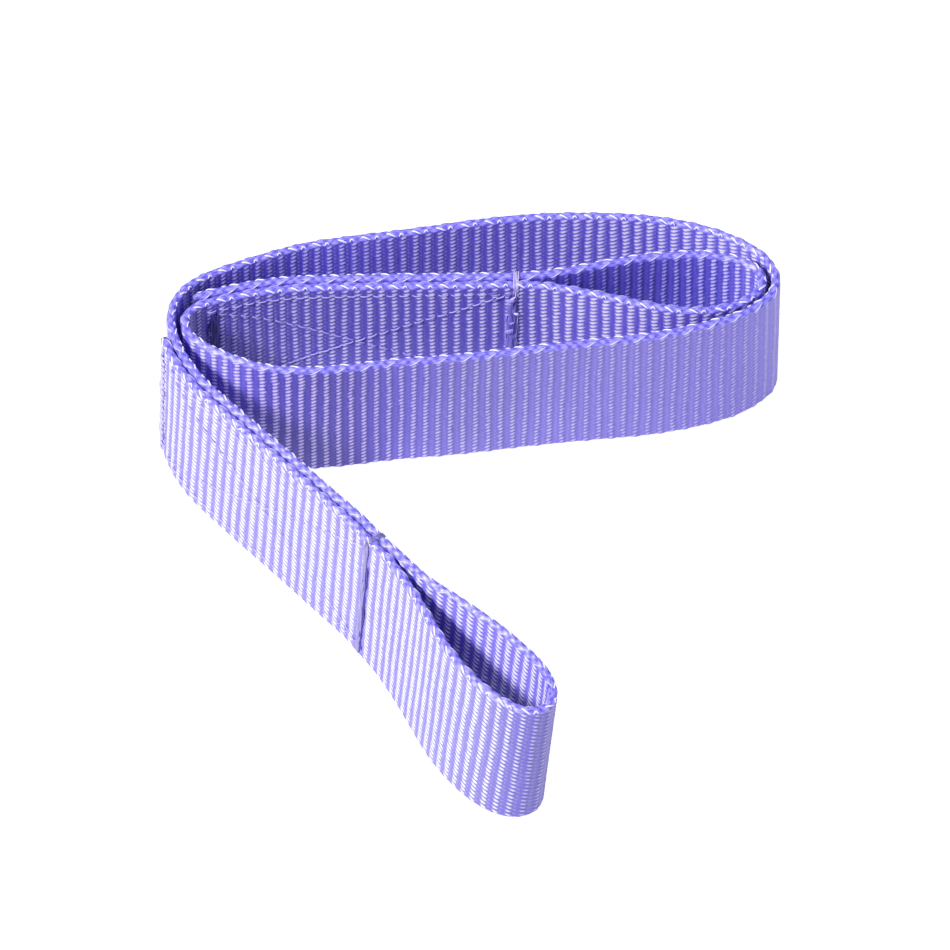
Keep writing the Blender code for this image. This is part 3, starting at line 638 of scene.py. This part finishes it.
def thread_material(name, light, dark):
    mat = bpy.data.materials.new(name)
    mat.use_nodes = True
    nt = mat.node_tree
    nt.nodes.clear()
    N = nt.nodes.new
    out = N("ShaderNodeOutputMaterial")
    b = N("ShaderNodeBsdfPrincipled")
    nt.links.new(b.outputs[0], out.inputs[0])
    web = N("ShaderNodeAttribute"); web.attribute_name = "web"
    ply = N("ShaderNodeTexWave")
    ply.wave_type = "BANDS"
    ply.bands_direction = "DIAGONAL"
    ply.inputs["Scale"].default_value = 1.4
    ply.inputs["Distortion"].default_value = 1.2
    nt.links.new(web.outputs["Vector"], ply.inputs["Vector"])
    fuzz = N("ShaderNodeTexNoise")
    fuzz.inputs["Scale"].default_value = 3.0
    fuzz.inputs["Detail"].default_value = 4.0
    nt.links.new(web.outputs["Vector"], fuzz.inputs["Vector"])
    ramp = N("ShaderNodeValToRGB")
    ramp.color_ramp.elements[0].color = dark
    ramp.color_ramp.elements[1].color = light
    ramp.color_ramp.elements[0].position = 0.2
    ramp.color_ramp.elements[1].position = 0.75
    mx = N("ShaderNodeMath"); mx.operation = "MULTIPLY_ADD"
    nt.links.new(ply.outputs["Fac"], mx.inputs[0]); mx.inputs[1].default_value = 0.55
    sc = N("ShaderNodeMath"); sc.operation = "MULTIPLY"
    nt.links.new(fuzz.outputs["Fac"], sc.inputs[0]); sc.inputs[1].default_value = 0.6
    nt.links.new(sc.outputs[0], mx.inputs[2])
    nt.links.new(mx.outputs[0], ramp.inputs["Fac"])
    nt.links.new(ramp.outputs["Color"], b.inputs["Base Color"])
    bump = N("ShaderNodeBump")
    bump.inputs["Strength"].default_value = 0.7
    bump.inputs["Distance"].default_value = 0.0001
    nt.links.new(ply.outputs["Fac"], bump.inputs["Height"])
    nt.links.new(bump.outputs[0], b.inputs["Normal"])
    b.inputs["Roughness"].default_value = 0.55
    socket(b, ["Specular IOR Level", "Specular"], 0.22)
    socket(b, ["Sheen Weight", "Sheen"], 0.02)
    return mat


# the deep colour is painted shade in the gaps between crowns and the darkest filament streaks; the crown colour is
# painted highlight
BAND_DEEP = (0.036, 0.026, 0.27, 1.0)
BAND_COL = (0.064, 0.048, 0.40, 1.0)
CROWN_HIGHLIGHT_COL = (0.70, 0.66, 0.97, 1.0)
EDGE_DEEP = (0.050, 0.038, 0.38, 1.0)
EDGE_COL = (0.200, 0.178, 0.84, 1.0)
WEB_MAT = web_material()
THREAD_MAT = thread_material("lavender_sewing_thread", (0.40, 0.36, 0.80, 1.0), (0.20, 0.17, 0.58, 1.0))
CORD_MAT = thread_material("grey_lavender_tack_thread", (0.215, 0.190, 0.42, 1.0), (0.080, 0.063, 0.25, 1.0))
LOOP_MAT = thread_material("pale_loop_thread", (0.62, 0.57, 0.94, 1.0), (0.30, 0.26, 0.66, 1.0))
SMEAR_MAT = thread_material("flattened_tack_thread", (0.135, 0.112, 0.46, 1.0), (0.082, 0.064, 0.35, 1.0))
MELT_MAT = thread_material("half_flattened_thread", (0.22, 0.19, 0.58, 1.0), (0.12, 0.095, 0.42, 1.0))
# dark thread that stands in for painted shade in the groove by the front bar and in the fold at the rear tail end
SHADE_SLOT_MAT = thread_material("sunk_thread_painted_shade", (0.030, 0.021, 0.25, 1.0), (0.012, 0.008, 0.13, 1.0))

# ---- the strap pieces -----------------------------------------------------------
FLOAT_R = 0.26


def selvedge_floats(soup, s0, s1):
    """Thread floats wrapped over each selvedge, one repeat every two ribs."""
    caps = []
    i0, i1 = int(math.ceil(s0 / (2 * PITCH))), int(math.floor(s1 / (2 * PITCH)))
    for i in range(i0 - 1, i1 + 1):
        base = i * 2 * PITCH
        r = np.random.RandomState(900 + i)
        for edge in (1, -1):
            for kind in (0, 1, 2):
                j = r.uniform(-1, 1, 4)
                if kind == 0:      # long float along the - side of the edge
                    u = np.linspace(0, 1, 9)
                    s = base + 0.5 + 2.7 * u + 0.15 * j[0]
                    a = np.radians(-14 - 58 * u ** 1.4 + 6 * j[1])
                    rad, rr = 0.22, BEAD_R + 0.08
                elif kind == 1:    # small hook, one rib on
                    u = np.linspace(0, 1, 9)
                    s = base + PITCH + 0.4 + 1.5 * u + 0.12 * j[0]
                    a = np.radians(-74 + 42 * np.sin(math.pi * u) + 5 * j[1])
                    rad, rr = 0.18, BEAD_R + 0.07
                else:              # thin strand down the + side
                    u = np.linspace(0, 1, 9)
                    s = base + 1.2 + 3.6 * u + 0.2 * j[0]
                    a = np.radians(12 + 84 * u + 4 * j[1])
                    rad, rr = 0.15, BEAD_R + 0.05
                if s[0] < s0 + 0.1 or s[-1] > s1 - 0.1:
                    continue
                lift = rr - 0.28 * (2 * u - 1) ** 4
                bv = BEAD_V if edge > 0 else 50 - BEAD_V
                v = bv + edge * lift * np.cos(a)
                o = lift * np.sin(a)
                c = on_web(s, v, o)
                p, lean, t, n = frames(s)
                up = lean * (edge * np.cos(a))[:, None] + n * np.sin(a)[:, None]
                fade = rad * (0.35 + 0.65 * np.sin(math.pi * np.clip(u, 0.02, 0.98)) ** 0.5)
                # the floats take a pale crown tone: painted highlight
                caps += tube(soup, c, fade, sides=6, squash_dir=up, squash=0.75,
                             tone=(0.90, 0.85, 0.60)[kind], mat=0)
    return caps


def strap_piece(name, j0, j1, ends=(False, False)):
    s = np.arange(j0, j1 + 1) * (PITCH / PER_RIB)
    soup = Soup()
    pts, tone, coord, seal, painted_light = web_points(s, ends)
    idx = soup.grid(pts, tone, coord, seal=seal, painted_light=painted_light)
    half = len(SECTION)
    caps = []
    # end caps as strips between the two faces, row against row
    rows_f = np.where(KIND == 1)[0]
    rows_b = np.where(KIND == -1)[0][::-1]
    top = np.where(KIND == 2)[0]
    low = np.where(KIND == -2)[0]
    for ring, flip in ((idx[0], False), (idx[-1], True)):
        faces = []
        for a in range(len(rows_f) - 1):
            faces.append([ring[rows_f[a]], ring[rows_f[a + 1]], ring[rows_b[a + 1]], ring[rows_b[a]]])
        faces.append([ring[rows_f[-1]]] + [ring[k] for k in top] + [ring[rows_b[-1]]])
        faces.append([ring[rows_b[0]]] + [ring[k] for k in low] + [ring[rows_f[0]]])
        for f in faces:
            f = [int(q) for q in f]
            caps.append(f if flip else f[::-1])
    for f in caps:
        f.reverse()
    caps += selvedge_floats(soup, s[0], s[-1])
    obj = make_mesh(name, soup, caps, [WEB_MAT], sharp=np.concatenate([idx[0], idx[-1]]))
    return obj


def at(s_mm):
    """Station index in a rib valley nearest to arc length s."""
    return int(round((s_mm / PITCH - 0.75))) * PER_RIB + 6


J_END = RIBS * PER_RIB
cuts = {"tail": at(85.6), "eye": at(S_THROAT_B + 12.5), "leg": at(S_HINGE - 10.5), "bend": at(S_HINGE + 17.0),
        "back1": at(445.0), "back2": at(520.0), "front1": at(592.0), "front2": at(664.0), "inner": at(712.0),
        "rearleg": at(798.0), "reareye": at(872.0), "reareye2": at(944.0)}

PIECES = {}


def piece(name, a, b, body=None, nodes=(), blend=None, ends=(False, False)):
    obj = strap_piece(name, a, b, ends)
    if blend:
        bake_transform(obj)
    else:
        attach(obj, body)
    if nodes:
        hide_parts(*nodes)
    PIECES[name] = obj
    return obj


def towards(s, back, ahead):
    p, _, t, _ = frames([s])
    return ((p - t * back)[0] * MM).tolist(), ((p + t * ahead)[0] * MM).tolist()


eye_mid = (frames([S_THROAT_A])[0][0] + frames([S_THROAT_B])[0][0]) / 2
eye_dir = frames([S_THROAT_A])[2][0] - frames([S_THROAT_B])[2][0]
eye_dir /= np.linalg.norm(eye_dir)

piece("front_tail_strap", 0, cuts["tail"], "front_leg", ["front_tail"], ends=(True, False))
piece("front_eye_strap", cuts["tail"], cuts["eye"], nodes=["front_eye_loop"],
      blend=("front_leg", "front_eye", ((eye_mid - eye_dir * 4.0) * MM).tolist(), ((eye_mid + eye_dir * 6.0) * MM).tolist()))
piece("front_leg_strap", cuts["eye"], cuts["leg"], "front_leg", ["front_leg_webbing"])
h0, h1 = towards(S_HINGE, 7.0, 7.5)
piece("outer_bend_strap", cuts["leg"], cuts["bend"], blend=("front_leg", "coil", h0, h1))
piece("back_run_strap_left", cuts["bend"], cuts["back1"], "coil", ["back_run_webbing"])
piece("back_run_strap_right", cuts["back1"], cuts["back2"], "coil")
piece("right_bend_strap", cuts["back2"], cuts["front1"], "coil", ["right_bend_webbing"])
piece("front_run_strap", cuts["front1"], cuts["front2"], "coil", ["front_run_webbing"])
piece("inner_bend_strap", cuts["front2"], cuts["inner"], "coil", ["inner_bend_webbing"])
piece("rear_leg_strap", cuts["inner"], cuts["rearleg"], "coil", ["rear_leg_webbing"])
piece("rear_eye_strap_front", cuts["rearleg"], cuts["reareye"], "coil", ["rear_eye_loop"])
piece("rear_eye_strap_back", cuts["reareye"], cuts["reareye2"], "coil")
piece("rear_tail_strap", cuts["reareye2"], J_END, "coil", ["rear_tail"], ends=(False, True))

# ---- stitching ------------------------------------------------------------------
SURFACE = WEB_THICK / 2 + 0.10


def stitch_run(soup, s_a, v_a, s_b, v_b, side, stitch=3.1, gap=0.5, radius=0.19, seed=0):
    """A row of lockstitches on one face, dipping into the webbing between stitches."""
    r = np.random.RandomState(seed)
    length = math.hypot(s_b - s_a, v_b - v_a)
    count = max(1, int(round(length / (stitch + gap))))
    caps = []
    for i in range(count):
        u0 = (i * (stitch + gap)) / length
        u1 = min(1.0, (i * (stitch + gap) + stitch) / length)
        u = np.linspace(u0, u1, 9)
        w = np.linspace(0, 1, 9)
        j = r.uniform(-1, 1, 3)
        s = s_a + (s_b - s_a) * u
        v = v_a + (v_b - v_a) * u + 0.12 * j[0] + 0.15 * j[1] * (w - 0.5)
        o = side * (SURFACE + 0.16 + 0.05 * j[2] - 0.75 * np.abs(2 * w - 1) ** 3.5)
        c = on_web(s, v, o)
        _, _, _, n = frames(s)
        caps += tube(soup, c, radius * (0.75 + 0.25 * np.sin(math.pi * w)), sides=8,
                     squash_dir=n * side, squash=0.85, tone=1.0)
    return caps


def box_cross(name, s0, s1, lo, hi, side, body, node, seed):
    soup = Soup()
    caps = []
    # two long sides and the cross; the bar tacks close the ends of the box
    for k, (a, b) in enumerate((((s0, hi), (s1, hi)), ((s1, lo), (s0, lo)),
                                ((s0, lo), (s1, hi)), ((s0, hi), (s1, lo)))):
        caps += stitch_run(soup, a[0], a[1], b[0], b[1], side, seed=seed + k)
    obj = make_mesh(name, soup, caps, [THREAD_MAT])
    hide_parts(node)
    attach(obj, body)
    return obj


class Tack:
    """Thread laid across the web at one place: strands, knots and loops over the edge."""

    def __init__(self, name, s_mid, body, node, seed, face=-WEB_THICK / 2, other=0.0):
        self.name, self.s, self.body, self.node = name, s_mid, body, node
        self.r = np.random.RandomState(seed)
        self.soup, self.caps = Soup(), []
        self.face, self.other = face, other

    def strand(self, ds, v0, v1, radius, squash=1.0, out=0.25, mat=0, wobble=0.15, side=None):
        side = self.face if side is None else side
        sign = 1 if side > 0 else -1
        m = max(9, int(abs(v1 - v0) / 0.7))
        w = np.linspace(0, 1, m)
        k = abs(v1 - v0) / 46.0
        p0, p1, p2 = self.r.uniform(0, 6.28, 3)
        s = self.s + ds + wobble * (np.sin(w * 17 * k + p0) + 0.5 * np.sin(w * 41 * k + p1))
        o = side + sign * (out + 0.07 * np.sin(w * 29 * k + p2))
        end = np.minimum(1, np.minimum(w, 1 - w) * (m - 1) / 2.0)
        o = o - sign * 0.45 * (1 - end) ** 2
        c = on_web(s, v0 + (v1 - v0) * w, o)
        n = frames(s)[3]
        rad = radius * (1 + 0.22 * np.sin(w * 53 * k + p1)) * (0.35 + 0.65 * end)
        self.caps += tube(self.soup, c, rad, sides=8, squash_dir=n, squash=squash, mat=mat)

    def zigzag(self, width, lo, hi, radius, out, mat=0, side=None, step=0.72):
        side = self.face if side is None else side
        sign = 1 if side > 0 else -1
        v, k = lo, 0
        while v < hi - 0.8:
            w = np.linspace(0, 1, 7)
            j = self.r.uniform(-1, 1, 5)
            s = self.s + (w - 0.5) * width * (1 + 0.18 * j[0]) * (1 if k % 2 else -1) + 0.12 * j[4]
            o = side + sign * (out + 0.05 * j[2] - 0.42 * np.abs(2 * w - 1) ** 3)
            c = on_web(s, v + 0.75 * w + 0.12 * j[1], o)
            self.caps += tube(self.soup, c, radius * (0.8 + 0.2 * np.sin(math.pi * w)), sides=6,
                              squash_dir=frames(s)[3], squash=0.9, mat=mat)
            v += step + 0.10 * j[3]
            k += 1

    def knot(self, ds, v, long, radius, mat=0, lean=0.4):
        w = np.linspace(0, 1, 11)
        s = self.s + ds + long * (w - 0.5)
        o = self.face - 0.30 - 0.25 * np.sin(math.pi * w)
        c = on_web(s, v + lean * (w - 0.5) * long, o)
        self.caps += tube(self.soup, c, radius * (0.3 + 0.7 * np.sin(math.pi * w) ** 0.6), sides=8,
                          squash_dir=frames(s)[3], squash=0.6, mat=mat)

    def loop(self, ds, v_near, v_far, radius, drift=0.4, mat=0):
        """Strand up the near face, over both edges and down the far face."""
        mid = (self.face + self.other) / 2
        half = abs(self.other - self.face) / 2 + 0.16
        a = np.linspace(-0.06, math.pi + 0.06, 15)
        o = mid - half * np.cos(a)
        v = 48.75 + 1.42 * np.clip(np.sin(a), 0, 1) ** 0.7
        o = np.concatenate([np.linspace(self.face - 0.15, o[0], 6)[:-1], o, np.linspace(o[-1], self.other + 0.15, 4)[1:]])
        v = np.concatenate([np.linspace(v_near, v[0], 6)[:-1], v, np.linspace(v[-1], v_far, 4)[1:]])
        w = np.linspace(0, 1, len(o))
        s = self.s + ds + drift * (w - 0.3) + 0.06 * np.sin(w * 9 + self.r.uniform(0, 6))
        c = on_web(s, v, o)
        self.caps += tube(self.soup, c, np.full(len(o), radius), sides=8, mat=mat)

    def done(self, mats):
        obj = make_mesh(self.name, self.soup, self.caps, mats)
        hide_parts(self.node)
        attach(obj, self.body)
        return obj


H = WEB_THICK / 2
box_cross("front_box_cross_stitching", 8.6, S_TACK_A - 1.6, 4.5, 46.0, -1, "front_leg", "front_box_cross_seam", 11)
box_cross("rear_box_cross_stitching", S_REAR + 2.6, S_REAR_THROAT_A - 1.6, 4.5, 46.0, -1, "coil", "rear_box_cross_seam", 41)

# front throat: a tight corded bar with a groove beside it, the groove's shade painted by a dark strand
k = Tack("front_throat_tack_stitching", S_TACK_A - 0.2, "front_leg", "front_throat_bar_tack", 21, -H, H + LAYER)
for ds, rad in ((-0.55, 0.30), (-0.12, 0.27), (0.28, 0.30), (0.60, 0.22)):
    k.strand(ds, 1.2, 48.9, rad, 0.8, 0.20, 0, 0.16)
k.zigzag(1.2, 1.5, 48.5, 0.16, 0.34, 0, step=1.9)
# dark strand beside the bar: painted shade in the groove
k.strand(1.08, 3.0, 40.0, 0.30, 0.6, 0.10, 1, 0.20)
k.zigzag(1.4, 1.5, 48.5, 0.22, 0.15, 0, side=H + LAYER)
for ds, rad in ((-0.42, 0.16), (0.12, 0.17), (0.66, 0.16)):
    k.loop(ds, 46.0, 46.5, rad, 0.9)
k.done([CORD_MAT, SHADE_SLOT_MAT])

# front tail end: an irregular chain of loops near the cut
k = Tack("front_tail_tack_stitching", 4.4, "front_leg", "front_tail_end_bar_tack", 31)
k.zigzag(2.3, 3.0, 47.0, 0.36, 0.55, 0, step=1.35)
k.strand(-0.75, 3.5, 46.5, 0.28, 0.8, 0.60, 0, 0.45)
k.strand(0.65, 6.0, 44.0, 0.22, 0.8, 0.24, 2, 0.40)
k.done([THREAD_MAT, SHADE_SLOT_MAT, CORD_MAT])

# rear throat: a flattened bar, half buried, with pale loops over the edge and loose knots
k = Tack("rear_throat_tack_stitching", S_REAR_THROAT_A - 0.6, "coil", "rear_throat_bar_tack", 51, -H, H + LAYER)
for ds, v0, v1, rad in ((-1.25, 1.5, 36.0, 0.75), (-0.35, 1.0, 43.0, 0.85), (0.55, 1.0, 45.0, 0.78), (1.15, 2.0, 40.0, 0.50)):
    k.strand(ds, v0, v1, rad, 0.36, 0.12, 0, 0.22)
k.strand(0.95, 1.0, 47.0, 0.14, 0.9, 0.42, 0, 0.18)
k.strand(0.25, 14.0, 47.5, 0.12, 0.9, 0.40, 0, 0.30)
k.strand(1.30, 22.0, 39.0, 0.11, 0.9, 0.38, 1, 0.20)
k.strand(-1.75, 12.0, 37.0, 0.12, 0.9, 0.20, 1, 0.22)
k.knot(-0.40, 43.4, 2.6, 0.85, 4, 0.4)
k.knot(-0.75, 42.4, 1.6, 0.34, 2, -0.8)
k.knot(0.10, 44.6, 1.5, 0.32, 2, 0.9)
k.knot(1.15, 37.4, 1.6, 0.50, 2, -0.6)
k.knot(-0.80, 29.2, 2.7, 0.95, 4, 0.3)
k.knot(-0.10, 33.0, 1.6, 0.50, 4, 0.5)
k.zigzag(2.2, 1.5, 48.5, 0.24, 0.15, 1, side=H + LAYER)
for ds, rad in ((0.42, 0.17), (0.98, 0.19), (1.52, 0.16)):
    k.loop(ds, 44.6, 45.0, rad, 0.25, 2)
for a, b in (((-6.3, 43.0), (-3.0, 45.2)), ((-2.9, 44.8), (0.2, 47.2)), ((-7.4, 46.2), (-4.6, 47.0))):
    k.caps += stitch_run(k.soup, S_REAR_THROAT_A + a[0], a[1], S_REAR_THROAT_A + b[0], b[1], -1, stitch=3.6, gap=0.3,
                         radius=0.20, seed=70)
k.done([SMEAR_MAT, THREAD_MAT, LOOP_MAT, SHADE_SLOT_MAT, MELT_MAT])

# rear tail end: on the far face of the tail, and sunk deep into the near face of the leg, where the sunk strands are
# dark thread as painted shade
k = Tack("rear_tail_tack_stitching", LENGTH - 4.4, "coil", "rear_tail_end_bar_tack", 61)
k.zigzag(1.9, 3.0, 47.0, 0.25, 0.20, 1, step=1.0)
k.s = S_REAR + 4.6
# dark sunk strands: painted shade of the concave fold
for ds, v0, v1, rad in ((-0.75, 4.0, 45.5, 0.50), (0.05, 4.0, 46.0, 0.55), (0.80, 5.0, 45.0, 0.45)):
    k.strand(ds, v0, v1, rad, 0.4, 0.05, 0, 0.16)
k.strand(-1.30, 6.0, 44.0, 0.16, 0.9, 0.10, 2, 0.30)
k.strand(1.40, 26.0, 46.5, 0.13, 0.9, 0.08, 2, 0.25)
k.knot(-1.35, 36.0, 0.9, 0.26, 1, 0.6)
k.done([SHADE_SLOT_MAT, THREAD_MAT, SMEAR_MAT])

# ---- floor, light, camera ---------------------------------------------------------
fm = bpy.data.materials.new("pale_floor")
fm.use_nodes = True
fb = fm.node_tree.nodes["Principled BSDF"]
fb.inputs["Base Color"].default_value = (0.50, 0.50, 0.51, 1.0)
fb.inputs["Roughness"].default_value = 0.9
fb.inputs["Emission Color"].default_value = (1.0, 1.0, 1.0, 1.0)
fb.inputs["Emission Strength"].default_value = 1.36
bpy.ops.mesh.primitive_plane_add(size=8.0, location=(0, 0, -0.0003))
floor = bpy.context.object
floor.name = "floor"
floor.data.materials.append(fm)

world = bpy.data.worlds.new("studio")
bpy.context.scene.world = world
world.use_nodes = True
world.node_tree.nodes["Background"].inputs[0].default_value = (1.0, 1.0, 1.0, 1.0)
world.node_tree.nodes["Background"].inputs[1].default_value = 0.75


def area_light(name, loc, target, size, power):
    d = bpy.data.lights.new(name, "AREA")
    d.shape = "DISK"
    d.size = size
    d.energy = power
    o = bpy.data.objects.new(name, d)
    bpy.context.collection.objects.link(o)
    o.location = loc
    v = np.array(target) - np.array(loc)
    from mathutils import Vector
    o.rotation_euler = Vector(v.tolist()).to_track_quat("-Z", "Y").to_euler()
    return o


area_light("key_left", (-1.28, -0.62, 1.70), (0, 0, 0.02), 0.50, 120.0)

cam_data = bpy.data.cameras.new("camera")
cam = bpy.data.objects.new("camera", cam_data)
bpy.context.collection.objects.link(cam)
PITCH_DOWN = math.radians(54.6)
AIM = (0.00181, 0.03023, 0.0)
DIST = 3.342
cam.location = (AIM[0], AIM[1] - DIST * math.cos(PITCH_DOWN), DIST * math.sin(PITCH_DOWN))
cam.rotation_euler = (math.pi / 2 - PITCH_DOWN, 0.0, 0.0)
cam_data.sensor_width = 36.0
cam_data.lens = 12000.0 * 36.0 / 950.0
cam_data.clip_start, cam_data.clip_end = 0.05, 30.0
bpy.context.scene.camera = cam

WHITE = 1.5
TONE_CURVE = ((0.10, 0.10), (0.30, 0.29), (0.50, 0.46), (0.75, 0.66), (1.00, 0.81), (1.25, 0.92))
sc = bpy.context.scene
sc.view_settings.view_transform = "Standard"
sc.view_settings.look = "None"
sc.view_settings.exposure = 0.0
# a soft shoulder, as a bright product photograph has
sc.view_settings.use_curve_mapping = True
cm = sc.view_settings.curve_mapping
cm.white_level = (WHITE, WHITE, WHITE)
curve = cm.curves[3]
for a, b in TONE_CURVE:
    curve.points.new(a / WHITE, b)
curve.points[0].location = (0.0, 0.0)
curve.points[-1].location = (1.0, 1.0)
cm.update()
